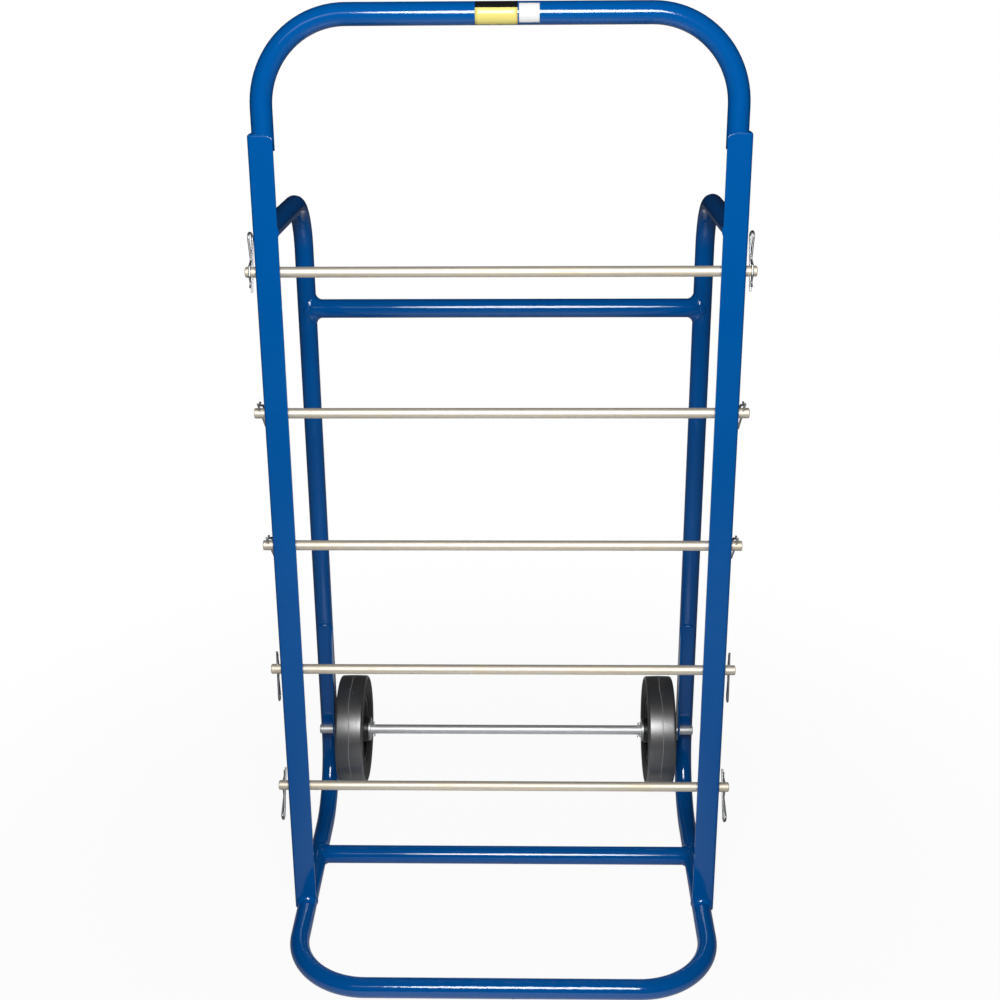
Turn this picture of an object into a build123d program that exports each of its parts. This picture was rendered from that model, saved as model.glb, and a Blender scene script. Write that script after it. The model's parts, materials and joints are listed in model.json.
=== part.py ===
from build123d import *
import os
from math import cos, radians, sin, tan

# A wire-spool dolly cart: a welded frame of bent round tube with two uprights of bent angle,
# five loose spool rods kept in by hairpin cotters, and two rubber wheels on one axle.
# Millimetres, +Z up. The floor loop points to -Y and the origin is on the floor, mid-cart.

os.makedirs("parts", exist_ok=True)

# Tube stock
tube_d = 33.4
tube_wall = 2.8
side_spacing = 708.0
weld_gap = 0.1

# Floor loop, measured back from the middle of its front tube
loop_bend_radius = 126.0
lower_cross_setback = 358.0

# Legs: their tops are measured down from the tops of the uprights
leg_setback = 575.6
leg_lean = 2.6
leg_drop = 159.5
leg_foot_radius = 133.0
leg_top_radius = 88.0
upper_cross_drop = 196.0

# Drain holes in the floor loop and the lower cross tube
drain_d = 6.0
drain_side_offset = 20.0
drain_angle = 40.0

# Uprights of plate bent to an angle
angle_leg = 38.1
angle_wall = 4.0
angle_bend_radius = 5.0
upright_setback = 203.0
upright_lean = 3.4
toe_cut_width = 17.0
toe_cut_height = 9.0
heel_radius = 3.0

# Handle: its height drives the uprights, the legs and the rods' pitch
handle_top = 1532.0
handle_rise = 168.0
handle_bend_radius = 131.0
handle_overlap = 25.0

# Spool rods, evenly spaced along the uprights
rod_d = 16.7
rod_overhang = 18.6
rod_count = 5
lowest_rod_height = 254.5
top_rod_drop = 207.9
rod_chamfer = 1.0
rod_hole_inset = 10.2
running_clearance = 0.08

# Hairpin cotters: reaches are measured along the straight leg from the rod's middle
wire_d = 3.5
wire_clearance = 0.15
eye_reach = 61.0
eye_width = 19.0
eye_roundness = 0.385
waist_gap = 0.8
waist_reach = 18.0
straight_tip = 31.0
wavy_tip = 25.0
tip_flare = 7.0
wave_half_width = 7.0
wave_gap = 0.6
wave_radius = 5.0
# Top rod first: turn of the eye from straight up to the back, and roll of the pin outwards
hairpin_turns = (24.0, 137.0, 137.0, 189.0, 210.0)
hairpin_rolls = (12.0, -18.0, -18.0, 3.0, 24.0)

# Axle and its brackets
axle_d = 18.0
axle_overhang = 30.2
axle_height = 179.0
axle_chamfer = 1.0
axle_stand_off = 23.0
bracket_wall = 3.2
bracket_overhang = 1.5
bracket_front_width = 27.0
bracket_bend_radius = 2.5
bracket_rise = 212.0
bracket_drop = 30.0
bracket_top_reach = 20.0
bracket_nose_margin = 16.0
bracket_nose_radius = 11.0

# Wheels
wheel_d = 211.0
tyre_width = 52.0
tyre_crown = 1.2
tyre_shoulder_radius = 11.0
tyre_bead_margin = 2.0
rim_d = 132.0
rim_width = 40.0
rim_wall = 7.0
rim_draft = 2.5
web_wall = 14.0
boss_d = 50.0
boss_length = 44.0
boss_draft = 2.5
bush_d = 25.4
bush_length = 58.0
wheel_float = 8.6
end_play = 0.25

# Washers between each wheel and its split pin
washer_d = 44.5
washer_wall = 3.4
washer_clearance = 0.8

# Split pins
split_pin_d = 3.2
split_pin_clearance = 0.1
split_pin_shank_margin = 1.6
split_pin_eye = 5.6
split_pin_wire = 2.2
split_pin_prong = 8.0
split_pin_prong_d = 1.9
split_pin_spread = 14.0

# Values worked out from the sizes above
tube_r = tube_d / 2
side_x = side_spacing / 2
leg_slope = tan(radians(leg_lean))
leg_dir = Vector(0, sin(radians(leg_lean)), cos(radians(leg_lean)))
leg_back = Vector(0, cos(radians(leg_lean)), -sin(radians(leg_lean)))
upright_dir = Vector(0, sin(radians(upright_lean)), cos(radians(upright_lean)))
upright_back = Vector(0, cos(radians(upright_lean)), -sin(radians(upright_lean)))
drain_dir = Vector(0, -cos(radians(drain_angle)), -sin(radians(drain_angle)))

# Heights, from the handle down
upright_top = handle_top - handle_rise
leg_top_height = upright_top - leg_drop
leg_top_run = leg_setback + leg_slope * leg_top_height - upright_setback
upper_cross_height = leg_top_height - upper_cross_drop

# The axle stands ahead of the leg by the tube, the bracket's front plate and a gap
leg_front = tube_r + weld_gap
axle_reach = leg_front + bracket_wall + axle_stand_off
station_height = axle_height - axle_reach * sin(radians(leg_lean))
axle_setback = leg_setback + leg_slope * station_height - axle_reach * cos(radians(leg_lean))

# The cart is centred between the front of the floor loop and the back of the wheels
front_y = tube_r - (axle_setback + wheel_d / 2 + tube_r) / 2
axle_y = front_y + axle_setback
lower_cross_y = front_y + lower_cross_setback
upright_y = front_y + upright_setback
joint_y = upright_y + angle_leg / 2

angle_root_radius = angle_bend_radius - angle_wall
upright_outer_x = side_x + tube_r + weld_gap + angle_wall
upright_length = upright_top / cos(radians(upright_lean))
rod_set_back = (angle_leg + angle_wall) / 2
rod_half = upright_outer_x + rod_overhang
rod_pitch = (upright_length - top_rod_drop - lowest_rod_height) / (rod_count - 1)
hole_x = rod_half - rod_hole_inset

bracket_inner_x = side_x - tube_r - bracket_overhang
axle_half = bracket_inner_x + axle_overhang
wheel_x = bracket_inner_x - wheel_float - bush_length / 2
washer_x = wheel_x - bush_length / 2 - end_play
split_pin_x = washer_x - washer_wall - end_play - (split_pin_eye + split_pin_wire) / 2

sides = (("left", -1), ("right", 1))


def leg_point(side, height):
    """Point on a leg's axis at a height above the floor."""
    return Vector(side * side_x, front_y + leg_setback + leg_slope * height, height)


def upright_point(distance):
    """Point midway on the uprights' front plane, so far up along the uprights."""
    return Vector(0, upright_y, 0) + upright_dir * distance


def tube_section():
    """Ring section of the frame tube, for use inside a sketch."""
    Circle(tube_r)
    Circle(tube_r - tube_wall, mode=Mode.SUBTRACT)


def across(point):
    """Sketch plane at a point, looking along the cart's width."""
    return Plane(origin=point, x_dir=(0, 1, 0), z_dir=(1, 0, 0))


def finish(builder, name):
    """Label a finished piece and write it to its file."""
    builder.part.label = name
    export_step(builder.part, f"parts/{name}.step")


# Floor loop: a U of tube on the floor, open to the back
with BuildPart() as base_loop:
    with BuildLine(Plane.XY.offset(tube_r)) as loop_path:
        FilletPolyline(
            (-side_x, joint_y),
            (-side_x, front_y),
            (side_x, front_y),
            (side_x, joint_y),
            radius=loop_bend_radius,
        )
    with BuildSketch(Plane(origin=loop_path.line @ 0, z_dir=loop_path.line % 0)):
        tube_section()
    sweep(path=loop_path.line)
    drain_point = (drain_side_offset, front_y, tube_r)
    with BuildSketch(Plane(origin=drain_point, x_dir=(1, 0, 0), z_dir=drain_dir)):
        Circle(drain_d / 2)
    extrude(amount=tube_d, mode=Mode.SUBTRACT)
finish(base_loop, "base_loop")

# Legs: from the back of the upright, square over, down and forward along the floor.
# The top end is cut to the upright's front flange and to the fillet in its corner.
upright_foot = Plane(origin=upright_point(0), x_dir=(1, 0, 0), z_dir=upright_dir)
flange_back = Plane(
    origin=upright_point(0) + upright_back * (angle_wall + weld_gap),
    x_dir=(1, 0, 0),
    z_dir=upright_back,
)
for side_name, side in sides:
    with BuildPart() as leg:
        with BuildLine() as leg_path:
            FilletPolyline(
                (side * side_x, joint_y, tube_r),
                leg_point(side, tube_r),
                leg_point(side, leg_top_height),
                (side * side_x, upright_y, leg_top_height + leg_slope * leg_top_run),
                radius=[leg_foot_radius, leg_top_radius],
            )
        with BuildSketch(Plane(origin=leg_path.line @ 0, z_dir=leg_path.line % 0)):
            tube_section()
        sweep(path=leg_path.line)
        split(bisect_by=flange_back, keep=Keep.TOP)
        with BuildSketch(upright_foot):
            root_x = side * (upright_outer_x - angle_wall)
            with Locations((root_x - side * angle_root_radius / 2, angle_wall + angle_root_radius / 2)):
                Rectangle(angle_root_radius, angle_root_radius)
            with Locations((root_x - side * angle_root_radius, angle_wall + angle_root_radius)):
                Circle(angle_root_radius - weld_gap, mode=Mode.SUBTRACT)
        extrude(amount=upright_length, mode=Mode.SUBTRACT)
    finish(leg, f"{side_name}_leg")

# Cross tubes: ends notched round the side tubes
with BuildPart() as upper_cross_tube:
    with BuildSketch(across(leg_point(0, upper_cross_height))):
        tube_section()
    extrude(amount=side_x, both=True)
    for side_name, side in sides:
        leg_station = leg_point(side, upper_cross_height)
        with BuildSketch(Plane(origin=leg_station, x_dir=(1, 0, 0), z_dir=leg_dir)):
            Circle(tube_r + weld_gap)
        extrude(amount=tube_d, both=True, mode=Mode.SUBTRACT)
finish(upper_cross_tube, "upper_cross_tube")

with BuildPart() as lower_cross_tube:
    with BuildSketch(across((0, lower_cross_y, tube_r))):
        tube_section()
    extrude(amount=side_x, both=True)
    for side_name, side in sides:
        leg_station = (side * side_x, lower_cross_y, tube_r)
        with BuildSketch(Plane(origin=leg_station, x_dir=(1, 0, 0), z_dir=(0, 1, 0))):
            Circle(tube_r + weld_gap)
        extrude(amount=tube_d, both=True, mode=Mode.SUBTRACT)
    drain_point = (drain_side_offset, lower_cross_y, tube_r)
    with BuildSketch(Plane(origin=drain_point, x_dir=(1, 0, 0), z_dir=drain_dir)):
        Circle(drain_d / 2)
    extrude(amount=tube_d, mode=Mode.SUBTRACT)
finish(lower_cross_tube, "lower_cross_tube")

# Uprights: bent angle, its toe cut off round at the top. At the foot the front flange stands on the
# floor tube and the side flange laps down outside it.
upright_head = Plane(origin=upright_point(upright_length), x_dir=(1, 0, 0), z_dir=-upright_back)
thickness_axis = Axis(upright_point(0), upright_back)
for side_name, side in sides:
    outer = side * upright_outer_x
    inner = side * (upright_outer_x - angle_leg)
    root = side * (upright_outer_x - angle_wall)
    with BuildPart() as upright:
        with BuildSketch(upright_foot) as angle_section:
            with BuildLine():
                Polyline(
                    (outer, 0),
                    (inner, 0),
                    (inner, angle_wall),
                    (root, angle_wall),
                    (root, angle_leg),
                    (outer, angle_leg),
                    close=True,
                )
            make_face()
            fillet(angle_section.vertices().sort_by_distance((root, angle_wall))[0], angle_root_radius)
            fillet(angle_section.vertices().sort_by_distance((outer, 0))[0], angle_bend_radius)
        extrude(amount=upright_length)
        top_face = upright.faces().sort_by(Axis(upright_point(0), upright_dir))[-1]
        heel_edge = top_face.edges().filter_by(thickness_axis).sort_by(Axis.X)[-1 if side > 0 else 0]
        fillet(heel_edge, heel_radius)
        with BuildSketch(upright_head):
            with BuildLine():
                Polyline((inner, -toe_cut_height), (inner, 0), (inner + side * toe_cut_width, 0))
                TangentArc((inner + side * toe_cut_width, 0), (inner, -toe_cut_height), tangent=(-side, 0))
            make_face()
        extrude(amount=angle_leg, both=True, mode=Mode.SUBTRACT)
        with BuildSketch():
            with Locations((root - side * angle_leg / 2, joint_y)):
                Rectangle(angle_leg, angle_leg * 2)
        extrude(amount=tube_d + weld_gap, mode=Mode.SUBTRACT)
        split(bisect_by=Plane.XY.offset(tube_r), keep=Keep.TOP)
        for number in range(rod_count):
            rod_point = upright_point(lowest_rod_height + number * rod_pitch) + upright_back * rod_set_back
            with BuildSketch(across(rod_point)):
                Circle(rod_d / 2 + running_clearance)
            extrude(amount=rod_half, both=True, mode=Mode.SUBTRACT)
    finish(upright, f"{side_name}_upright")

# Handle: an upside-down U of tube, its ends let into the uprights
handle_plane = Plane(
    origin=upright_point(0) + upright_back * (angle_wall + weld_gap + tube_r),
    x_dir=(1, 0, 0),
    z_dir=-upright_back,
)
handle_end = upright_length - handle_overlap
handle_reach = handle_top / cos(radians(upright_lean))
with BuildPart() as handle:
    with BuildLine(handle_plane) as handle_path:
        FilletPolyline(
            (-side_x, handle_end),
            (-side_x, handle_reach),
            (side_x, handle_reach),
            (side_x, handle_end),
            radius=handle_bend_radius,
        )
    with BuildSketch(Plane(origin=handle_path.line @ 0, z_dir=handle_path.line % 0)):
        tube_section()
    sweep(path=handle_path.line)
finish(handle, "handle")

# Axle brackets: plate bent to an L on the front of each leg, its side plate wider at the axle
nose_reach = axle_reach + bracket_nose_margin
for side_name, side in sides:
    station = leg_point(0, station_height) + Vector(side * bracket_inner_x, 0, 0)
    side_plane = Plane(origin=station, x_dir=-leg_back, z_dir=(-1, 0, 0))
    along_leg = Axis(station, leg_dir)
    with BuildPart() as bracket:
        with BuildSketch(side_plane):
            with BuildLine():
                Polyline(
                    (leg_front, -bracket_drop),
                    (leg_front, bracket_rise),
                    (leg_front + bracket_wall, bracket_rise),
                    (leg_front + bracket_top_reach, bracket_rise - bracket_top_reach),
                    (nose_reach, bracket_nose_margin),
                    (nose_reach, -bracket_nose_margin),
                    close=True,
                )
            make_face()
        extrude(amount=-side * bracket_wall)
        nose = side_plane.from_local_coords((nose_reach, 0, 0))
        fillet(bracket.edges().filter_by(Axis.X).sort_by_distance(nose)[0:2], bracket_nose_radius)
        with BuildSketch(side_plane):
            with Locations((leg_front + bracket_wall / 2, (bracket_rise - bracket_drop) / 2)):
                Rectangle(bracket_wall, bracket_rise + bracket_drop)
        extrude(amount=-side * bracket_front_width)
        inner_bend = side_plane.from_local_coords((leg_front + bracket_wall, 0, -side * bracket_wall))
        fillet(bracket.edges().filter_by(along_leg).sort_by_distance(inner_bend)[0], bracket_bend_radius)
        outer_bend = side_plane.from_local_coords((leg_front, 0, 0))
        heel_edge = bracket.edges().filter_by(along_leg).sort_by_distance(outer_bend)[0]
        fillet(heel_edge, bracket_bend_radius + bracket_wall)
        with BuildSketch(side_plane):
            with Locations((axle_reach, 0)):
                Circle(axle_d / 2 + running_clearance)
        extrude(amount=bracket_front_width, both=True, mode=Mode.SUBTRACT)
    finish(bracket, f"{side_name}_axle_bracket")

# Axle: round bar with a cross hole for a split pin inside each wheel
axle_line = Axis((0, axle_y, axle_height), (1, 0, 0))
with BuildPart() as wheel_axle:
    with BuildSketch(across((0, axle_y, axle_height))):
        Circle(axle_d / 2)
    extrude(amount=axle_half, both=True)
    chamfer(wheel_axle.edges().filter_by(GeomType.CIRCLE), axle_chamfer)
    for side_name, side in sides:
        with BuildSketch(Plane(origin=(side * split_pin_x, axle_y, axle_height), z_dir=(0, 0, 1))):
            Circle(split_pin_d / 2 + split_pin_clearance)
        extrude(amount=axle_d, both=True, mode=Mode.SUBTRACT)
finish(wheel_axle, "wheel_axle")

# Split pins: an eye at one end of the shank and two prongs bent apart at the other
shank_half = axle_d / 2 + split_pin_shank_margin
for side_name, side in sides:
    pin_middle = Vector(side * split_pin_x, axle_y, axle_height)
    prong_end = Vector(0, 0, -side)
    with BuildPart() as split_pin:
        shank_end = pin_middle - prong_end * shank_half
        with BuildSketch(Plane(origin=shank_end, x_dir=(1, 0, 0), z_dir=prong_end)):
            Circle(split_pin_d / 2)
        extrude(amount=shank_half * 2)
        eye_middle = pin_middle - prong_end * (shank_half + split_pin_eye / 2)
        with BuildSketch(Plane(origin=eye_middle, x_dir=(1, 0, 0), z_dir=(0, 0, 1))):
            with Locations((split_pin_eye / 2, 0)):
                Circle(split_pin_wire / 2)
        revolve(axis=Axis(eye_middle, (0, 1, 0)))
        for turn in (-1, 1):
            spread = radians(turn * split_pin_spread)
            prong_dir = prong_end * cos(spread) + Vector(sin(spread), 0, 0)
            prong_offset = Vector(turn * (split_pin_d - split_pin_prong_d) / 2, 0, 0)
            prong_root = pin_middle + prong_end * (shank_half - split_pin_prong_d) + prong_offset
            with BuildSketch(Plane(origin=prong_root, z_dir=prong_dir)):
                Circle(split_pin_prong_d / 2)
            extrude(amount=split_pin_prong)
    finish(split_pin, f"{side_name}_split_pin")

# Wheels: rubber tyre on a moulded hub with a steel bush, kept on by a washer and the split pin
tyre_half = tyre_width / 2
wheel_r = wheel_d / 2
rim_r = rim_d / 2
rim_inner_r = rim_r - rim_wall
boss_r = boss_d / 2
bush_r = bush_d / 2
for side_name, side in sides:
    wheel_middle = Vector(side * wheel_x, axle_y, axle_height)
    wheel_plane = Plane(origin=wheel_middle, x_dir=(1, 0, 0), z_dir=(0, -1, 0))
    with BuildPart() as tyre:
        with BuildSketch(wheel_plane) as tyre_section:
            with BuildLine():
                Polyline(
                    (-rim_width / 2 - tyre_bead_margin, rim_r),
                    (-tyre_half, rim_r + tyre_shoulder_radius),
                    (-tyre_half, wheel_r - tyre_crown),
                    (0, wheel_r),
                    (tyre_half, wheel_r - tyre_crown),
                    (tyre_half, rim_r + tyre_shoulder_radius),
                    (rim_width / 2 + tyre_bead_margin, rim_r),
                    close=True,
                )
            make_face()
            for edge_side in (-1, 1):
                shoulder = (edge_side * tyre_half, wheel_r - tyre_crown)
                fillet(tyre_section.vertices().sort_by_distance(shoulder)[0], tyre_shoulder_radius)
        revolve(axis=axle_line)
    finish(tyre, f"{side_name}_tyre")

    with BuildPart() as hub:
        with BuildSketch(wheel_plane):
            with BuildLine():
                Polyline(
                    (-boss_length / 2, bush_r),
                    (-boss_length / 2, boss_r),
                    (-web_wall / 2, boss_r + boss_draft),
                    (-web_wall / 2, rim_inner_r - rim_draft),
                    (-rim_width / 2, rim_inner_r),
                    (-rim_width / 2, rim_r),
                    (rim_width / 2, rim_r),
                    (rim_width / 2, rim_inner_r),
                    (web_wall / 2, rim_inner_r - rim_draft),
                    (web_wall / 2, boss_r + boss_draft),
                    (boss_length / 2, boss_r),
                    (boss_length / 2, bush_r),
                    close=True,
                )
            make_face()
        revolve(axis=axle_line)
    finish(hub, f"{side_name}_hub")

    with BuildPart() as bush:
        with BuildSketch(across(wheel_middle)):
            Circle(bush_r)
            Circle(axle_d / 2 + running_clearance, mode=Mode.SUBTRACT)
        extrude(amount=bush_length / 2, both=True)
    finish(bush, f"{side_name}_bush")

    with BuildPart() as washer:
        washer_face = Vector(side * washer_x, axle_y, axle_height)
        with BuildSketch(across(washer_face)):
            Circle(washer_d / 2)
            Circle(axle_d / 2 + washer_clearance, mode=Mode.SUBTRACT)
        extrude(amount=-side * washer_wall)
    finish(washer, f"{side_name}_wheel_washer")

# Spool rods, counted from the top, and the hairpin cotters through their ends
rod_r = rod_d / 2
wire_r = wire_d / 2
waist = wire_d + waist_gap
eye_radius = eye_width * eye_roundness
for number in range(rod_count):
    turn = radians(hairpin_turns[number])
    roll = radians(hairpin_rolls[number])
    pull = Vector(0, sin(turn), cos(turn))
    lift = Vector(0, -cos(turn), sin(turn))
    wave_top = (rod_r + wire_r + wave_gap) / cos(roll)
    distance = lowest_rod_height + (rod_count - 1 - number) * rod_pitch
    rod_middle = upright_point(distance) + upright_back * rod_set_back
    with BuildPart() as spool_rod:
        with BuildSketch(across(rod_middle)):
            Circle(rod_r)
        extrude(amount=rod_half, both=True)
        chamfer(spool_rod.edges().filter_by(GeomType.CIRCLE), rod_chamfer)
        for side_name, side in sides:
            hole_middle = rod_middle + Vector(side * hole_x, 0, 0)
            with BuildSketch(Plane(origin=hole_middle, x_dir=(1, 0, 0), z_dir=pull)):
                Circle(wire_r + wire_clearance)
            extrude(amount=rod_d, both=True, mode=Mode.SUBTRACT)
    finish(spool_rod, f"spool_rod_{number + 1}")

    for side_name, side in sides:
        hole_middle = rod_middle + Vector(side * hole_x, 0, 0)
        wavy_side = lift * cos(roll) + Vector(side * sin(roll), 0, 0)
        with BuildPart() as hairpin:
            with BuildLine(Plane(origin=hole_middle, x_dir=pull, z_dir=pull.cross(wavy_side))) as wire_path:
                FilletPolyline(
                    (-straight_tip, 0),
                    (eye_reach - wire_r, 0),
                    (eye_reach - wire_r, eye_width),
                    (waist_reach, waist),
                    (wave_half_width, wave_top),
                    (-wave_half_width, wave_top),
                    (-waist_reach, waist),
                    (-wavy_tip, tip_flare),
                    radius=[eye_radius, eye_radius, wave_radius, wave_radius, wave_radius, wave_radius],
                )
            with BuildSketch(Plane(origin=wire_path.line @ 0, z_dir=wire_path.line % 0)):
                Circle(wire_r)
            sweep(path=wire_path.line)
        finish(hairpin, f"{side_name}_hairpin_{number + 1}")
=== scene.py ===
import json
import math
import random

import bmesh
import bpy
from mathutils import Matrix, Vector


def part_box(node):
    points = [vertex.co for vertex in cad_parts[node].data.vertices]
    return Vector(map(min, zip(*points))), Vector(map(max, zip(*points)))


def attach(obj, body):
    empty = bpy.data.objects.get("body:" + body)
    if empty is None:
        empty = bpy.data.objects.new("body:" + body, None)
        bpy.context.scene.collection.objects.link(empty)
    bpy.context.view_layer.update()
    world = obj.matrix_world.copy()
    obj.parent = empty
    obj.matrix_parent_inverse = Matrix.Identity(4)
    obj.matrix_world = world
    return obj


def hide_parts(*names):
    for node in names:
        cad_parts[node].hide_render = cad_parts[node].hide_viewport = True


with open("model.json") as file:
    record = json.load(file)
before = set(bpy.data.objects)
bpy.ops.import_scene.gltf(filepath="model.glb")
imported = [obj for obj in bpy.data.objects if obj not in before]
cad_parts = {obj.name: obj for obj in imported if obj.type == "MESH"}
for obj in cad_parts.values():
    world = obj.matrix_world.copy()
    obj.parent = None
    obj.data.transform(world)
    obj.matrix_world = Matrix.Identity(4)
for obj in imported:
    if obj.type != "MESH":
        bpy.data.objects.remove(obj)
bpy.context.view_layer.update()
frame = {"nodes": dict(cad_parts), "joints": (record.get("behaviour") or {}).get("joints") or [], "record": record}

# Looks for a wire-spool dolly cart: blue powder coat with painted welds, plated rods, axle and
# pins, moulded rubber wheels, and two blank labels on the handle. Metres, in the part's own frame.

nodes = frame["nodes"]
joints = {joint["name"]: joint for joint in frame["joints"]}
sides = (("left", -1), ("right", 1))
dice = random.Random(7)

# Sizes of the solids that the welds, the labels and the turned wheels follow
tube_r = 0.0167
side_x = 0.354
leg_lean = math.radians(2.6)
angle_leg = 0.0381
angle_wall = 0.0040
upright_outer_x = 0.3748
rod_set_back = 0.02105
toe_cut_width = 0.017
toe_cut_height = 0.009
axle_reach = 0.043
bracket_inner_x = 0.3358
bracket_front_width = 0.027
bracket_rise = 0.212
wheel_r = 0.1055
tyre_half = 0.026
rim_r = 0.066
rim_half = 0.020
rim_inner_r = 0.059
rim_draft = 0.0025
web_half = 0.007
boss_r = 0.025
boss_draft = 0.0025
bush_r = 0.0127
handle_overlap = 0.025
weld_gap = 0.0001

# Places read from the solids and the joints
rod_top = Vector(joints["spool_rod_1_spin"]["pos_m"])
rod_bottom = Vector(joints["spool_rod_5_spin"]["pos_m"])
axle_middle = Vector(joints["axle_spin"]["pos_m"])
across = Vector((1, 0, 0))
upright_dir = (rod_top - rod_bottom).normalized()
upright_back = Vector((0, upright_dir.z, -upright_dir.y))
leg_dir = Vector((0, math.sin(leg_lean), math.cos(leg_lean)))
leg_back = Vector((0, leg_dir.z, -leg_dir.y))


def middle(node):
    """Middle of a solid's box."""
    low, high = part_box(node)
    return (low + high) / 2


upper_cross = middle("upper_cross_tube")
lower_cross = middle("lower_cross_tube")
handle_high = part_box("handle")[1]
handle_bar = Vector((0, handle_high.y - tube_r, handle_high.z - tube_r))
upright_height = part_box("left_upright")[1].z
leg_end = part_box("left_leg")[1].z - tube_r


def upright_point(x, height, depth):
    """Point at a height on the uprights' front plane, so far behind it."""
    front = rod_bottom - upright_back * rod_set_back
    distance = (height - front.z) / upright_dir.z
    point = front + upright_dir * distance + upright_back * depth
    return Vector((x, point.y, point.z))


def leg_point(x, height, forward):
    """Point level with a height on the legs' axis, so far ahead of it."""
    axis = upper_cross + leg_dir * ((height - upper_cross.z) / leg_dir.z)
    point = axis - leg_back * forward
    return Vector((x, point.y, point.z))


# Shaders


class Signal:
    """A shader socket that takes part in arithmetic, and makes further nodes in its tree."""

    def __init__(self, tree, socket=None):
        self.tree = tree
        self.socket = socket

    def node(self, kind, settings=None, inputs=None, output=0):
        """Add a node: its settings first, then the values or links of its sockets."""
        made = self.tree.nodes.new("ShaderNode" + kind)
        for key, value in (settings or {}).items():
            if key == "stops":
                ramp = made.color_ramp
                while len(ramp.elements) < len(value):
                    ramp.elements.new(1.0)
                for element, (place, colour) in zip(ramp.elements, value):
                    element.position = place
                    element.color = (*colour, 1.0)
            else:
                setattr(made, key, value)
        for key, value in (inputs or {}).items():
            if isinstance(value, Signal):
                self.tree.links.new(value.socket, made.inputs[key])
            else:
                made.inputs[key].default_value = value
        return Signal(self.tree, made.outputs[output] if made.outputs else None)

    def math(self, operation, other=0.0, swap=False):
        first, second = (other, self) if swap else (self, other)
        return self.node("Math", {"operation": operation}, {0: first, 1: second})

    def __add__(self, other):
        return self.math("ADD", other)

    def __sub__(self, other):
        return self.math("SUBTRACT", other)

    def __mul__(self, other):
        return self.math("MULTIPLY", other)

    def __radd__(self, other):
        return self.math("ADD", other, swap=True)

    def __rsub__(self, other):
        return self.math("SUBTRACT", other, swap=True)

    def __rmul__(self, other):
        return self.math("MULTIPLY", other, swap=True)

    def between(self, low, high):
        """0 below low, 1 above high, smooth in between."""
        return self.node(
            "MapRange",
            {"interpolation_type": "SMOOTHSTEP"},
            {"Value": self, "From Min": low, "From Max": high},
        )

    def colours(self, first, second, how="MIX"):
        """Mix two colours by this value."""
        first, second = (c if isinstance(c, Signal) else (*c, 1.0) for c in (first, second))
        settings = {"data_type": "RGBA", "blend_type": how}
        return self.node("Mix", settings, {0: self, 6: first, 7: second}, output=2)

    def stretched(self, scale):
        """These coordinates times a vector."""
        return self.node("VectorMath", {"operation": "MULTIPLY"}, {0: self, 1: scale})

    def noise(self, scale, detail=2.0, roughness=0.5):
        """Cloudy values from 0 to 1 at these coordinates."""
        sizes = {"Vector": self, "Scale": scale, "Detail": detail, "Roughness": roughness}
        return self.node("TexNoise", {}, sizes)

    def cells(self, scale):
        """Distance to the nearest of many scattered points."""
        return self.node("TexVoronoi", {}, {"Vector": self, "Scale": scale})


def finish(name, make):
    """A material whose shader is made by a function of its coordinates."""
    material = bpy.data.materials.new(name)
    material.use_nodes = True
    tree = material.node_tree
    tree.nodes.clear()
    start = Signal(tree)
    shader = make(start.node("TexCoord", output="Object"))
    start.node("OutputMaterial", {}, {"Surface": shader})
    return material


def relief(height, depth):
    """Bump from a height map, with its depth in metres."""
    return height.node("Bump", {}, {"Strength": 1.0, "Distance": depth, "Height": height})


def powder_coat(place):
    """Glossy blue paint, faintly uneven, with orange peel and a few nibs."""
    drift = place.noise(7.0, 3.0)
    peel = place.noise(160.0, 1.0) + place.noise(420.0, 1.0) * 0.3
    nibs = 1.0 - place.cells(46.0).between(0.02, 0.05)
    film = drift.colours((0.0, 0.096, 0.38), (0.0, 0.112, 0.415))
    sizes = {
        "Base Color": film,
        "Roughness": 0.07 + drift * 0.04,
        "Specular IOR Level": 0.6,
        "Normal": relief(peel + nibs * 1.5, 0.00001),
    }
    return place.node("BsdfPrincipled", {}, sizes)


def plated(tint, stain, along, rough, bright=1.0):
    """Bright plate over drawn bar, with draw lines along one axis and cloudy stains."""

    def make(place):
        lines = place.stretched(along).noise(1.0, 3.0, 0.5)
        cloud = place.noise(14.0, 4.0, 0.6).between(0.42, 0.75)
        spots = 1.0 - place.cells(90.0).between(0.03, 0.07)
        colour = cloud.colours(tint, stain)
        colour = (spots * 0.25).colours(colour, (0.36, 0.34, 0.30))
        sizes = {
            "Base Color": colour,
            "Metallic": bright,
            "Roughness": rough + cloud * 0.06 + lines * 0.06,
            "Normal": relief(lines, 0.000004),
        }
        return place.node("BsdfPrincipled", {}, sizes)

    return make


# The tread's finish starts and is full so far inside the wheel's radius
tread_start = 0.009
tread_full = 0.002


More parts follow.
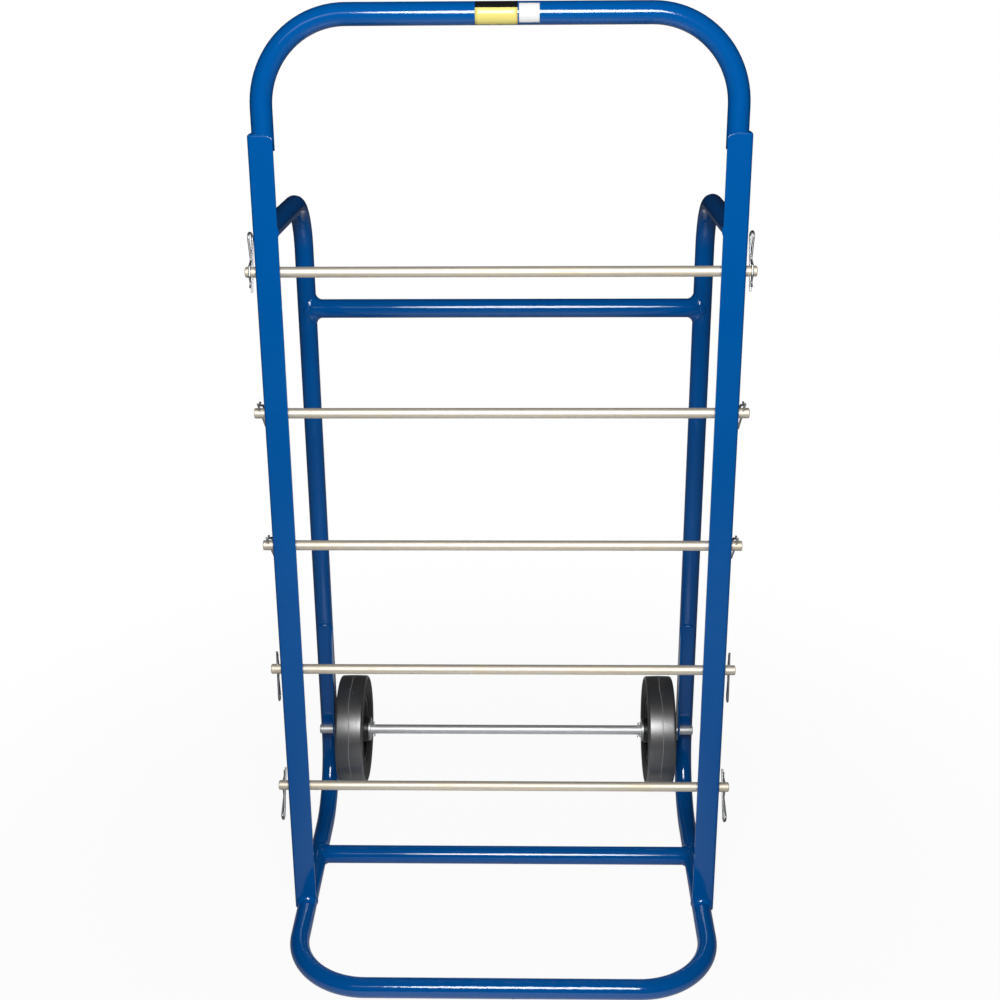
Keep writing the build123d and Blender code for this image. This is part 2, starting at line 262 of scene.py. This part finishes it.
def tyre_rubber(place):
    """Moulded rubber: sides coloured darker, partly as painted shade, and a scuffed, paler tread with a sheen."""
    from_axle = place.node("VectorMath", {"operation": "SUBTRACT"}, {0: place, 1: axle_middle})
    spoke = from_axle.stretched((0.0, 1.0, 1.0))
    radius = place.node("VectorMath", {"operation": "LENGTH"}, {0: spoke}, output="Value")
    tread = radius.between(wheel_r - tread_start, wheel_r - tread_full)
    grain = place.noise(900.0, 3.0, 0.6)
    bloom = place.noise(22.0, 4.0, 0.6).between(0.4, 0.75)
    scuff = place.stretched((160.0, 30.0, 30.0)).noise(1.0, 3.0, 0.6).between(0.55, 0.8)
    worn = bloom.colours((0.044, 0.044, 0.044), (0.060, 0.060, 0.059))
    worn = (scuff * 0.3).colours(worn, (0.085, 0.085, 0.083))
    # Painted shade in part: the sides are coloured darker than the tread
    clean_and_shaded_sides = bloom.colours((0.022, 0.022, 0.022), (0.030, 0.030, 0.030))
    sizes = {
        "Base Color": tread.colours(clean_and_shaded_sides, worn),
        "Roughness": 0.56 + grain * 0.06 + scuff * 0.05,
        "Specular IOR Level": 0.2,
        "Coat Weight": tread * (1.0 - scuff * 0.2),
        "Coat Roughness": 0.36,
        "Coat IOR": 2.4,
        "Normal": relief(grain, 0.00001),
    }
    return place.node("BsdfPrincipled", {}, sizes)


def mould_flash(place):
    """Rough rubber in a cloudy lighter grey, for the parting line and the vent nubs."""
    grain = place.noise(800.0, 3.0, 0.6)
    grey_cloud = place.noise(90.0, 3.0, 0.6)
    sizes = {
        "Base Color": grey_cloud.colours((0.20, 0.20, 0.20), (0.42, 0.42, 0.40)),
        "Roughness": 0.5 + grain * 0.1,
        "Normal": relief(grain, 0.00004),
    }
    return place.node("BsdfPrincipled", {}, sizes)


def hub_plastic(place):
    """Dark moulded plastic with a fine grain."""
    grain = place.noise(700.0, 2.0)
    cloud = place.noise(18.0, 3.0)
    sizes = {
        "Base Color": cloud.colours((0.011, 0.011, 0.012), (0.02, 0.02, 0.021)),
        "Roughness": 0.34 + grain * 0.1,
        "Specular IOR Level": 0.6,
        "Normal": relief(grain, 0.00003),
    }
    return place.node("BsdfPrincipled", {}, sizes)


def label_film(light, dark):
    """Printed vinyl film, faintly uneven."""

    def make(place):
        cloud = place.noise(60.0, 3.0)
        fibre = place.noise(1500.0, 2.0)
        sizes = {
            "Base Color": cloud.colours(dark, light),
            "Roughness": 0.22 + cloud * 0.06,
            "Normal": relief(fibre, 0.00001),
        }
        return place.node("BsdfPrincipled", {}, sizes)

    return make


frame_paint = finish("frame_paint", powder_coat)
zinc = finish(
    "zinc_plate",
    plated(
        tint=(0.66, 0.67, 0.68),
        stain=(0.56, 0.57, 0.56),
        along=(500.0, 500.0, 500.0),
        rough=0.38,
    ),
)
axle_plate = finish(
    "axle_plate",
    plated(
        tint=(0.97, 0.98, 0.98),
        stain=(0.90, 0.92, 0.91),
        along=(9.0, 700.0, 700.0),
        rough=0.46,
        bright=0.8,
    ),
)
rod_plate = finish(
    "rod_plate",
    plated(
        tint=(1.0, 0.925, 0.79),
        stain=(0.98, 0.88, 0.70),
        along=(6.0, 700.0, 700.0),
        rough=0.53,
        bright=0.8,
    ),
)
rubber = finish("tyre_rubber", tyre_rubber)
flash = finish("mould_flash", mould_flash)
plastic = finish("hub_plastic", hub_plastic)
yellow_film = finish("yellow_film", label_film((0.99, 0.86, 0.26), (0.96, 0.82, 0.22)))
black_film = finish("black_film", label_film((0.014, 0.014, 0.014), (0.009, 0.009, 0.01)))
white_film = finish("white_film", label_film((0.97, 0.97, 0.97), (0.94, 0.94, 0.945)))

finishes = {
    "frame_paint": frame_paint,
    "zinc_plate": zinc,
    "rod_plate": rod_plate,
    "tyre_rubber": rubber,
    "hub_plastic": plastic,
}
for subpart in frame["record"]["subparts"]:
    solid = nodes[subpart["node"]]
    solid.data.materials.clear()
    solid.data.materials.append(finishes[subpart["material_slot"]])
nodes["wheel_axle"].data.materials[0] = axle_plate

# Mesh helpers


def piece(name, points, faces, material, body):
    """A new mesh that rides on a body."""
    mesh = bpy.data.meshes.new(name)
    mesh.from_pydata(points, [], faces)
    mesh.materials.append(material)
    mesh.shade_smooth()
    made = bpy.data.objects.new(name, mesh)
    bpy.context.scene.collection.objects.link(made)
    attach(made, body)
    return made


def spaced(path, step):
    """Points at an even step along a line of points."""
    lengths = [0.0]
    for a, b in zip(path, path[1:]):
        lengths.append(lengths[-1] + (b - a).length)
    count = max(4, round(lengths[-1] / step))
    points = []
    spot = 0
    for k in range(count + 1):
        want = lengths[-1] * k / count
        while spot < len(path) - 2 and lengths[spot + 1] < want:
            spot += 1
        share = (want - lengths[spot]) / max(lengths[spot + 1] - lengths[spot], 1e-9)
        points.append(path[spot].lerp(path[spot + 1], share))
    return points


# A hand-laid weld: the length of one drop of metal, and how far the run swells and strays with it
drop_length = 0.0034
bead_step = 0.0009
cord_swell = 0.16
cord_stray = 0.03
cord_end = 0.05
cord_growth = 0.6
fillet_swell = 0.08
fillet_stray = 0.02


def bead_rings(path, radius, closed, around=10):
    """Points and faces of one weld run: a cord with overlapping ripples, its ends drawn in."""
    line = spaced(path, bead_step)
    if closed:
        line = line[:-1]
    count = len(line)
    points = []
    faces = []
    phase = dice.uniform(0.0, 6.28)
    side_step = None
    for k, spot in enumerate(line):
        after = line[(k + 1) % count] if closed else line[min(k + 1, count - 1)]
        before = line[k - 1] if closed else line[max(k - 1, 0)]
        ahead = (after - before).normalized()
        if side_step is None:
            side_step = ahead.orthogonal().normalized()
        side_step = (side_step - ahead * side_step.dot(ahead)).normalized()
        other = ahead.cross(side_step)
        wave = abs(math.sin(k * bead_step / drop_length * math.pi + phase))
        swell = 1.0 + cord_swell * wave + dice.uniform(-cord_stray, cord_stray)
        if not closed:
            near_end = min(k, count - 1 - k) * bead_step / radius
            swell *= math.sqrt(min(1.0, cord_end + near_end * cord_growth))
        for turn in range(around):
            angle = turn / around * math.tau
            out = side_step * math.cos(angle) + other * math.sin(angle)
            points.append(spot + out * radius * swell)
    for k in range(count if closed else count - 1):
        here = k * around
        there = (k + 1) % count * around
        for turn in range(around):
            beside = (turn + 1) % around
            faces.append((here + turn, here + beside, there + beside, there + turn))
    if not closed:
        faces.append(tuple(reversed(range(around))))
        faces.append(tuple(range((count - 1) * around, count * around)))
    return points, faces


# Least heights above the floor of a cord's middle and of a fillet's face
floor_clear = 0.0022
floor_touch = 0.0002
up = Vector((0, 0, 1))
back = Vector((0, 1, 0))


def weld(name, runs):
    """Painted weld on the frame, kept clear of the floor: runs of (path, radius, closed)."""
    points = []
    faces = []
    for path, radius, closed in runs:
        path = [Vector((spot.x, spot.y, max(spot.z, floor_clear))) for spot in path]
        more, more_faces = bead_rings(path, radius, closed)
        faces += [tuple(len(points) + i for i in face) for face in more_faces]
        points += more
    return piece(name, points, faces, frame_paint, "frame")


# Welds of the frame


arch_steps = 12


def weld_section(first_toe, second_toe, seam, out, root, rise, fullness):
    """Closed section of a fillet weld: a hollow curve from toe to toe, a crest that stands out
    by so much, and the root inside the joint."""
    halfway = (first_toe + second_toe) / 2
    pull = halfway.lerp(seam, 1.0 - fullness)
    arch = [root]
    for k in range(arch_steps + 1):
        share = k / arch_steps
        curve = first_toe.lerp(pull, share).lerp(pull.lerp(second_toe, share), share)
        arch.append(curve + out * rise * 4.0 * share * (1.0 - share))
    return [Vector((spot.x, spot.y, max(spot.z, floor_touch))) for spot in arch]


def fillet_weld(name, sections, closed):
    """Painted fillet weld on the frame through a row of sections."""
    wide = len(sections[0])
    count = len(sections)
    points = [spot for section in sections for spot in section]
    faces = []
    for k in range(count if closed else count - 1):
        here = k * wide
        there = (k + 1) % count * wide
        for j in range(wide):
            beside = (j + 1) % wide
            faces.append((here + j, there + j, there + beside, here + beside))
    if not closed:
        faces.append(tuple(range(wide)))
        faces.append(tuple(range((count - 1) * wide, count * wide)))
    made = piece(name, points, faces, frame_paint, "frame")
    shape = bmesh.new()
    shape.from_mesh(made.data)
    bmesh.ops.recalc_face_normals(shape, faces=shape.faces)
    shape.to_mesh(made.data)
    shape.free()
    return made


def ripple(length):
    """Share by which a weld's height changes along it, from one laid drop to the next."""
    wave = abs(math.sin(length / drop_length * math.pi))
    return 1.0 + fillet_swell * wave + dice.uniform(-fillet_stray, fillet_stray)


# Saddle weld: how far its toes reach from the seam, more in the corners between the tubes
saddle_reach = 0.0060
saddle_corner_reach = 0.0040
saddle_corner_turn = 0.25
saddle_rise = 0.0017
saddle_root = 0.001
saddle_fullness = 0.35


def saddle_sections(side, centre, along, out, steps=120):
    """Sections round a cross tube's end, where it meets a side tube of the same size that runs
    along a direction."""
    inward = across * -side
    sections = []
    for k in range(steps):
        angle = k / steps * math.tau
        corner = math.cos(angle) ** 2
        reach = saddle_reach + saddle_corner_reach * corner
        turn = math.asin(math.sin(angle))
        tube_out = along * math.cos(angle) + out * math.sin(angle)
        start = Vector((side * side_x, centre.y, centre.z))
        seam = start + inward * tube_r * math.cos(turn) + tube_out * tube_r
        # On the side tube the toe keeps its distance from the seam, over the tube's unrolled face
        up_share = math.tanh(math.cos(angle) / saddle_corner_turn)
        slant = math.hypot(up_share, math.sin(turn))
        toe_turn = turn + reach / tube_r * math.sin(turn) / slant
        side_out = inward * math.cos(toe_turn) + out * math.sin(toe_turn)
        shift = tube_r * math.cos(angle) + reach * up_share / slant
        side_toe = start + along * shift + side_out * tube_r
        tube_toe = seam + inward * reach
        middle_out = (tube_out + side_out).normalized()
        rise = saddle_rise * (1.0 - corner) * ripple(angle * tube_r)
        root = seam - middle_out * saddle_root
        section = weld_section(side_toe, tube_toe, seam, middle_out, root, rise, saddle_fullness)
        sections.append(section)
    return sections


# Foot weld: its run across the flange, its reach up the face and ahead on the tube, and its crest
foot_start = -0.0150
foot_length = 0.0313
foot_face_reach = 0.0078
foot_face_half = 0.0175
foot_tube_reach = 0.0072
foot_end_rise = 0.0003
foot_middle_rise = 0.0008
foot_root = 0.003
foot_lift = 0.00005


def foot_sections(leg_x, steps=40):
    """Sections along an upright's foot, from the front flange's face down onto the floor tube."""
    flange_foot = tube_r * 2 + weld_gap
    sections = []
    for k in range(steps + 1):
        shift = foot_start + foot_length * k / steps
        tube_out = Vector((shift / tube_r, 0.0, math.sqrt(1.0 - (shift / tube_r) ** 2)))
        tube_top = tube_r + tube_r * tube_out.z
        face_top = flange_foot + foot_face_reach * (1.0 - (shift / foot_face_half) ** 2)
        face_toe = upright_point(leg_x + shift, face_top, -foot_lift)
        seam = upright_point(leg_x + shift, tube_top, 0.0)
        tube_toe = seam - back * foot_tube_reach
        middle_out = (tube_out - upright_back).normalized()
        rise = foot_end_rise + foot_middle_rise * (1.0 - (shift / tube_r) ** 2)
        root = upright_point(leg_x + shift, (tube_top + flange_foot) / 2, foot_root)
        sections.append(weld_section(face_toe, tube_toe, seam, middle_out, root, rise, 1.0))
    return sections


def ring_path(centre, first, second, radius, start, sweep, steps=48):
    """Points of an arc about a centre, in the plane of two directions."""
    path = []
    for k in range(steps + 1):
        angle = math.radians(start + sweep * k / steps)
        path.append(centre + (first * math.cos(angle) + second * math.sin(angle)) * radius)
    return path


# Radii of the weld cords
lap_cord = 0.0021
butt_cord = 0.0011
leg_cord = 0.0017
lip_cord = 0.0012
crest_cord = 0.0013
stitch_cord = 0.0016
rear_stitch_cord = 0.0022
brow_cord = 0.0024
edge_cord = 0.0021

# Where the cords lie: insets from edges, depths behind the uprights' front, runs along the bracket
lap_inset = 0.0026
lap_drop = 0.0010
lap_depths = (0.0005, 0.012, 0.025, angle_leg - 0.002)
leg_cord_back = 0.0006
leg_cord_out = 0.0005
leg_cord_start = 44.0
leg_cord_sweep = 272.0
lip_drop = 0.0007
lip_end_inset = 0.005
lip_depth = angle_wall * 0.55
lip_steps = 16
crest_inset = angle_wall * 0.6
crest_drop = 0.0006
crest_depths = (0.006, 0.014, 0.022, 0.030)
stitch_drop = 0.011
stitch_length = handle_overlap - 0.012
stitch_inset = 0.0016
stitch_depth = angle_wall + 0.0010
rear_stitch_inset = angle_wall + 0.0012
rear_stitch_depth = angle_wall + tube_r + 0.0105
brow_places = (0.007, 0.016, 0.024)
brow_lift = 0.0006
brow_out = 0.0012
edge_back = 0.0006
edge_runs = ((-0.024, 0.006), (0.052, 0.092), (0.150, 0.200))
run_steps = 8

for side_name, side in sides:
    leg_x = side * side_x
    outer_x = side * upright_outer_x
    inner_x = side * (upright_outer_x - angle_leg)
    upper_saddle = saddle_sections(side, upper_cross, leg_dir, leg_back)
    fillet_weld(f"{side_name}_upper_cross_weld", upper_saddle, True)
    lower_saddle = saddle_sections(side, lower_cross, back, up)
    fillet_weld(f"{side_name}_lower_cross_weld", lower_saddle, True)

    # Foot of the upright: the front flange on the crown of the floor tube, and the side flange's
    # lap outside it
    fillet_weld(f"{side_name}_foot_weld", foot_sections(leg_x), False)
    lap_x = outer_x - side * lap_inset
    lap = [upright_point(lap_x, tube_r - lap_drop, depth) for depth in lap_depths]
    weld(f"{side_name}_lap_weld", [(lap, lap_cord, False)])

    # Floor loop and leg, end to end under the upright
    joint = Vector((leg_x, upright_point(0, 0, 0).y + angle_leg / 2, tube_r))
    butt = ring_path(joint, across, up, tube_r, 0.0, 360.0, 64)
    weld(f"{side_name}_butt_weld", [(butt, butt_cord, True)])

    # Leg's top end on the back of the front flange
    leg_top = upright_point(leg_x, leg_end, angle_wall + leg_cord_back)
    outward = across * side
    collar_r = tube_r + leg_cord_out
    collar = ring_path(leg_top, outward, upright_dir, collar_r, leg_cord_start, leg_cord_sweep)
    weld(f"{side_name}_leg_weld", [(collar, leg_cord, False)])

    # Handle's end in the head of the upright: a thin run along the flange tops, and stitches inside
    lip = []
    for k in range(lip_steps + 1):
        share = k / lip_steps
        x = inner_x + side * toe_cut_width * share
        drop = toe_cut_height * (1.0 - math.sqrt(max(0.0, 1.0 - (1.0 - share) ** 2)))
        lip.append(upright_point(x, upright_height - drop - lip_drop, lip_depth))
    lip_end_x = outer_x - side * lip_end_inset
    lip.append(upright_point(lip_end_x, upright_height - lip_drop, lip_depth))
    crest_x = outer_x - side * crest_inset
    crest = [upright_point(crest_x, upright_height - crest_drop, depth) for depth in crest_depths]
    stitch = []
    rear_stitch = []
    rear_x = outer_x - side * rear_stitch_inset
    for k in range(run_steps + 1):
        height = upright_height - stitch_drop - stitch_length * k / run_steps
        stitch.append(upright_point(inner_x + side * stitch_inset, height, stitch_depth))
        rear_stitch.append(upright_point(rear_x, height, rear_stitch_depth))
    runs = [
        (lip, lip_cord, False),
        (crest, crest_cord, False),
        (stitch, stitch_cord, False),
        (rear_stitch, rear_stitch_cord, False),
    ]
    weld(f"{side_name}_handle_weld", runs)

    # Axle bracket on the front of the leg: across its top and in stitches down its outer edge
    edge_x = side * (bracket_inner_x + bracket_front_width)
    station = axle_middle.z - axle_reach * math.sin(leg_lean)
    top_height = station + bracket_rise * leg_dir.z
    brow = []
    for place in brow_places:
        brow_x = side * (bracket_inner_x + place)
        brow.append(leg_point(brow_x, top_height + brow_lift, tube_r + brow_out))
    runs = [(brow, brow_cord, False)]
    for start, end in edge_runs:
        run = []
        for k in range(run_steps + 1):
            height = station + start + (end - start) * k / run_steps
            run.append(leg_point(edge_x, height, tube_r - edge_back))
        runs.append((run, edge_cord, False))
    weld(f"{side_name}_bracket_weld", runs)

# Wheels: turned tyre and hub, the mould's parting line round the tread, and vent nubs beside it


flat_step = 0.0004


def rounded(corners, steps=6):
    """Points of a closed outline from corners of (x, radius, rounding), with one on the flat at
    each side of a bend."""
    outline = []
    for k, (x, r, rounding) in enumerate(corners):
        here = Vector((x, r))
        if rounding == 0:
            outline.append(here)
            continue
        before = (Vector(corners[k - 1][:2]) - here).normalized()
        after = (Vector(corners[(k + 1) % len(corners)][:2]) - here).normalized()
        half = before.angle(after) / 2
        reach = rounding / math.tan(half)
        bend = here + (before + after).normalized() * (rounding / math.sin(half))
        outline.append(here + before * (reach + flat_step))
        for j in range(steps + 1):
            chord = (here + before * reach).lerp(here + after * reach, j / steps) - bend
            outline.append(bend + chord.normalized() * rounding)
        outline.append(here + after * (reach + flat_step))
    return outline


def on_axle(x):
    """Point of the axle's middle line."""
    return Vector((x, axle_middle.y, axle_middle.z))


def turned(name, outline, centre, material, body, steps=192):
    """A ring with this outline, turned about the axle."""
    points = []
    faces = []
    wide = len(outline)
    for k in range(steps):
        angle = k / steps * math.tau
        outward = Vector((0, math.cos(angle), math.sin(angle)))
        points += [on_axle(centre.x + x) + outward * r for x, r in outline]
        here = k * wide
        there = (k + 1) % steps * wide
        for j in range(wide):
            beside = (j + 1) % wide
            faces.append((here + j, there + j, there + beside, here + beside))
    return piece(name, points, faces, material, body)


# Finer sizes of the turned tyre and hub: the tread's crown, the roundings, and the hub's long boss
tyre_crown = 0.0007
crown_step = 0.0017
crown_count = 12
shoulder_rounding = 0.0045
side_rounding = 0.004
seat_rounding = 0.0008
seat_lip = 0.002
side_foot = 0.011
boss_half = 0.0287
boss_rounding = 0.0012
bore_rounding = 0.0003
web_rounding = 0.003
rim_rounding = 0.001


def crown_r(x):
    """Radius of the tread so far from its middle."""
    return wheel_r - tyre_crown * (x / tyre_half) ** 2


crown_places = [x * crown_step for x in range(-crown_count, crown_count + 1)]
tyre_outline = rounded([
    (-rim_half - seat_lip, rim_r, seat_rounding),
    (-tyre_half, rim_r + side_foot, side_rounding),
    (-tyre_half, crown_r(tyre_half), shoulder_rounding),
    *[(x, crown_r(x), 0) for x in crown_places],
    (tyre_half, crown_r(tyre_half), shoulder_rounding),
    (tyre_half, rim_r + side_foot, side_rounding),
    (rim_half + seat_lip, rim_r, seat_rounding),
])
boss_end_r = boss_r - boss_draft * 0.6
boss_foot_r = boss_r + boss_draft
web_outer_r = rim_inner_r - rim_draft
hub_outline = rounded([
    (-boss_half, bush_r, bore_rounding),
    (-boss_half, boss_end_r, boss_rounding),
    (-web_half, boss_foot_r, web_rounding),
    (-web_half, web_outer_r, web_rounding),
    (-rim_half, rim_inner_r, rim_rounding),
    (-rim_half, rim_r, rim_rounding),
    (rim_half, rim_r, rim_rounding),
    (rim_half, rim_inner_r, rim_rounding),
    (web_half, web_outer_r, web_rounding),
    (web_half, boss_foot_r, web_rounding),
    (boss_half, boss_end_r, boss_rounding),
    (boss_half, bush_r, bore_rounding),
])

# Parting line: its section as (place across, height), and the waves by which it strays sideways
line_section = ((-0.0008, -0.0002), (-0.0003, 0.0003), (0.0003, 0.0003), (0.0008, -0.0002))
line_waves = 4
wave_sizes = (0.0003, 0.0008)
wave_counts = (2, 9)
line_steps = 360

# Vent nubs: rings of (radius, height), in pairs round the tread, one at each side of the line
nub_rings = ((0.0010, 0.0), (0.0009, 0.0007), (0.0005, 0.0012))
nub_count = 14
nub_around = 8
nub_sink = 0.0006
nub_offsets = (-0.003, 0.004)
nub_lag = 0.18
nub_stray = 0.1


def stray_waves():
    """Sizes, counts round the wheel and starts of the waves in a parting line."""
    waves = []
    for _ in range(line_waves):
        size = dice.uniform(*wave_sizes)
        count = dice.randint(*wave_counts)
        waves.append((size, count, dice.uniform(0.0, 6.28)))
    return waves


for side_name, side in sides:
    centre = middle(f"{side_name}_tyre")
    body = f"{side_name}_wheel"
    tread = turned(f"{side_name}_tread", tyre_outline, centre, rubber, body)
    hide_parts(f"{side_name}_tyre")
    hub = turned(f"{side_name}_wheel_hub", hub_outline, centre, plastic, body)
    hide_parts(f"{side_name}_hub")
    wobble = stray_waves()
    points = []
    faces = []
    for k in range(line_steps):
        angle = k / line_steps * math.tau
        shift = sum(size * math.sin(waves * angle + start) for size, waves, start in wobble)
        outward = Vector((0, math.cos(angle), math.sin(angle)))
        for x, rise in line_section:
            points.append(on_axle(centre.x + shift + x) + outward * (wheel_r + rise))
    wide = len(line_section)
    for k in range(line_steps):
        here = k * wide
        there = (k + 1) % line_steps * wide
        for j in range(wide - 1):
            faces.append((here + j, there + j, there + j + 1, here + j + 1))
        faces.append((here + wide - 1, there + wide - 1, there, here))
    for k in range(nub_count):
        place = k // 2 * 2 + nub_lag * (k % 2) + dice.uniform(-nub_stray, nub_stray)
        angle = place / nub_count * math.tau
        outward = Vector((0, math.cos(angle), math.sin(angle)))
        onward = Vector((0, -math.sin(angle), math.cos(angle)))
        foot = on_axle(centre.x + nub_offsets[k % 2]) + outward * (wheel_r - nub_sink)
        base = len(points)
        for size, rise in nub_rings:
            for turn in range(nub_around):
                spin = turn / nub_around * math.tau
                ray = across * math.cos(spin) + onward * math.sin(spin)
                points.append(foot + ray * size + outward * rise)
        for ring in range(len(nub_rings) - 1):
            first = base + ring * nub_around
            for turn in range(nub_around):
                a = first + turn
                b = first + (turn + 1) % nub_around
                faces.append((a, b, b + nub_around, a + nub_around))
        top = base + (len(nub_rings) - 1) * nub_around
        faces.append(tuple(top + turn for turn in range(nub_around)))
        faces.append(tuple(base + turn for turn in reversed(range(nub_around))))
    piece(f"{side_name}_parting_line", points, faces, flash, body)

# Blank labels wrapped on the handle's bar


label_lift = 0.00005
label_top = 0.00022


def label(name, left, right, top, bottom, bands):
    """Film on the bar between two places along it and two angles above level. Its bands of
    (share of the way down, film) go from the top down."""
    rows = 40
    columns = 12
    bottom_r = tube_r + label_lift
    top_r = tube_r + label_top
    points = []
    for radius in (top_r, bottom_r):
        for row in range(rows + 1):
            angle = math.radians(top + (bottom - top) * row / rows)
            for column in range(columns + 1):
                x = left + (right - left) * column / columns
                spot = Vector((x, -radius * math.cos(angle), radius * math.sin(angle)))
                points.append(handle_bar + spot)
    faces = []
    kinds = []
    wide = columns + 1
    layer = (rows + 1) * wide
    for row in range(rows):
        for column in range(columns):
            a = row * wide + column
            faces.append((a, a + wide, a + wide + 1, a + 1))
            kinds.append(sum(row / rows >= end for end, film in bands[:-1]))
            b = a + layer
            faces.append((b, b + 1, b + wide + 1, b + wide))
            kinds.append(kinds[-1])
    rim = list(range(wide))
    rim += [row * wide + columns for row in range(1, rows + 1)]
    rim += [rows * wide + column for column in reversed(range(columns))]
    rim += [row * wide for row in reversed(range(1, rows))]
    for a, b in zip(rim, rim[1:] + rim[:1]):
        faces.append((a, b, b + layer, a + layer))
        kinds.append(len(bands) - 1)
    made = piece(name, points, faces, bands[0][1], "frame")
    for end, film in bands[1:]:
        made.data.materials.append(film)
    made.data.polygons.foreach_set("material_index", kinds)
    return made


label(
    "yellow_label",
    left=-0.0342,
    right=0.0274,
    top=84.0,
    bottom=-65.0,
    bands=((0.345, black_film), (1.0, yellow_film)),
)
label("white_label", left=0.0294, right=0.0592, top=59.0, bottom=-46.5, bands=((1.0, white_film),))

# Studio: pale floor, one round soft lamp above the camera with a weak panel beside it, and a broad
# lamp behind
floor_half = 6.0
floor_drop = 0.0004
floor_corners = ((-1, -1), (1, -1), (1, 1), (-1, 1))
floor_mesh = bpy.data.meshes.new("floor")
floor_mesh.from_pydata(
    [(x * floor_half, y * floor_half, 0) for x, y in floor_corners],
    [],
    [(0, 1, 2, 3)],
)
floor = bpy.data.objects.new("floor", floor_mesh)
bpy.context.scene.collection.objects.link(floor)
floor.location.z = -floor_drop

ray_kinds = ("Is Camera Ray", "Is Glossy Ray", "Is Transmission Ray")


def floor_shade(place):
    """Pale paper that the camera sees nearly white, with the shadow kept. Reflections see a
    painted bright strip ahead of the cart, partly glowing as a painted reflection, and a floor
    painted darker round it as painted shade."""
    away = place.node("VectorMath", {"operation": "LENGTH"}, {0: place}, output="Value")
    grain = place.noise(30.0, 3.0)
    paper = grain.colours((0.86, 0.86, 0.86), (0.89, 0.89, 0.89))
    white = place.node("Emission", {}, {"Color": (1, 1, 1, 1), "Strength": 1.0})
    rays = {name: place.node("LightPath", output=name) for name in ray_kinds}
    sideways = place.node("SeparateXYZ", {}, {0: place}, output="X").math("ABSOLUTE")
    depth = place.node("SeparateXYZ", {}, {0: place}, output="Y")
    # Painted reflection and shade: reflections see a bright strip ahead of the cart and a floor painted darker
    # round it
    painted_strip_mask = depth.between(-1.2, -0.6) * (1.0 - sideways.between(0.20, 0.50))
    painted_light_paper = painted_strip_mask.colours((0.25, 0.25, 0.25), (0.82, 0.82, 0.82))
    paper = rays["Is Camera Ray"].colours(painted_light_paper, paper)
    matt = place.node("BsdfDiffuse", {}, {"Color": paper})
    mirrored = rays["Is Glossy Ray"].math("MAXIMUM", rays["Is Transmission Ray"])
    seen_share = 0.935 + away.between(0.45, 1.6) * 0.065
    # Painted reflection: for reflections the strip also glows white
    mirrored_share = 0.03 + painted_strip_mask * (1.0 - depth.between(-0.30, -0.12)) * 0.5
    share = rays["Is Camera Ray"] * seen_share + mirrored * mirrored_share
    return place.node("MixShader", {}, {0: share, 1: matt, 2: white})


floor_mesh.materials.append(finish("floor_paper", floor_shade))

# Room: white to the camera, nearly dark in reflections, with a little fill light
world = bpy.data.worlds.new("studio")
bpy.context.scene.world = world
world.use_nodes = True
world.node_tree.nodes.clear()
air = Signal(world.node_tree)
aim = air.node("TexCoord", output="Generated")
rise = air.node("SeparateXYZ", {}, {0: aim}, output="Z")
rays = {name: air.node("LightPath", output=name) for name in ray_kinds}
mirrored = rise.between(0.0, 0.6).colours((0.008, 0.008, 0.008), (0.012, 0.012, 0.013))
fill = rays["Is Glossy Ray"].colours((0.026, 0.026, 0.027), mirrored)
shown = rays["Is Camera Ray"].math("MAXIMUM", rays["Is Transmission Ray"])
sky = air.node("Background", {}, {"Color": shown.colours(fill, (1.0, 1.0, 1.0)), "Strength": 1.0})
air.node("OutputWorld", {}, {"Surface": sky})


def soft_lamp(name, place, target, shape, width, height, power):
    """Broad lamp at a place, turned to a target."""
    lamp = bpy.data.lights.new(name, "AREA")
    lamp.shape = shape
    lamp.size = width
    lamp.size_y = height
    lamp.energy = power
    made = bpy.data.objects.new(name, lamp)
    made.location = place
    made.rotation_euler = (Vector(target) - Vector(place)).to_track_quat("-Z", "Y").to_euler()
    bpy.context.scene.collection.objects.link(made)
    return made


soft_lamp(
    "front_lamp",
    place=(0.055, -1.95, 2.10),
    target=(0.0, 0.0, 0.85),
    shape="ELLIPSE",
    width=0.98,
    height=1.0,
    power=48.0,
)
soft_lamp(
    "side_panel",
    place=(-0.78, -1.95, 2.10),
    target=(0.0, 0.0, 0.85),
    shape="RECTANGLE",
    width=0.6,
    height=0.5,
    power=1.3,
)
back_lamp = soft_lamp(
    "back_lamp",
    place=(0.0, 3.2, 1.1),
    target=(0.0, 0.0, 0.7),
    shape="RECTANGLE",
    width=3.0,
    height=1.6,
    power=30.0,
)
back_lamp.visible_glossy = False

# Camera, as solved from the photograph's straight edges
camera_place = (0.0424, -2.1623, 1.6778)
pitch = math.radians(22.89)
yaw = math.radians(-1.217)
roll = math.radians(-0.4336)
ahead = Vector((math.sin(yaw) * math.cos(pitch), math.cos(yaw) * math.cos(pitch), -math.sin(pitch)))
level = Vector((math.cos(yaw), -math.sin(yaw), 0))
upward = level.cross(ahead)
right = level * math.cos(roll) + upward * math.sin(roll)
upward = upward * math.cos(roll) - level * math.sin(roll)
lens = bpy.data.cameras.new("camera")
lens.sensor_width = 36.0
lens.lens = 50.904
camera = bpy.data.objects.new("camera", lens)
bpy.context.scene.collection.objects.link(camera)
turn = Matrix((right, upward, -ahead)).transposed().to_4x4()
camera.matrix_world = Matrix.Translation(camera_place) @ turn
bpy.context.scene.camera = camera
bpy.context.scene.view_settings.view_transform = "Standard"

bpy.context.view_layer.update()
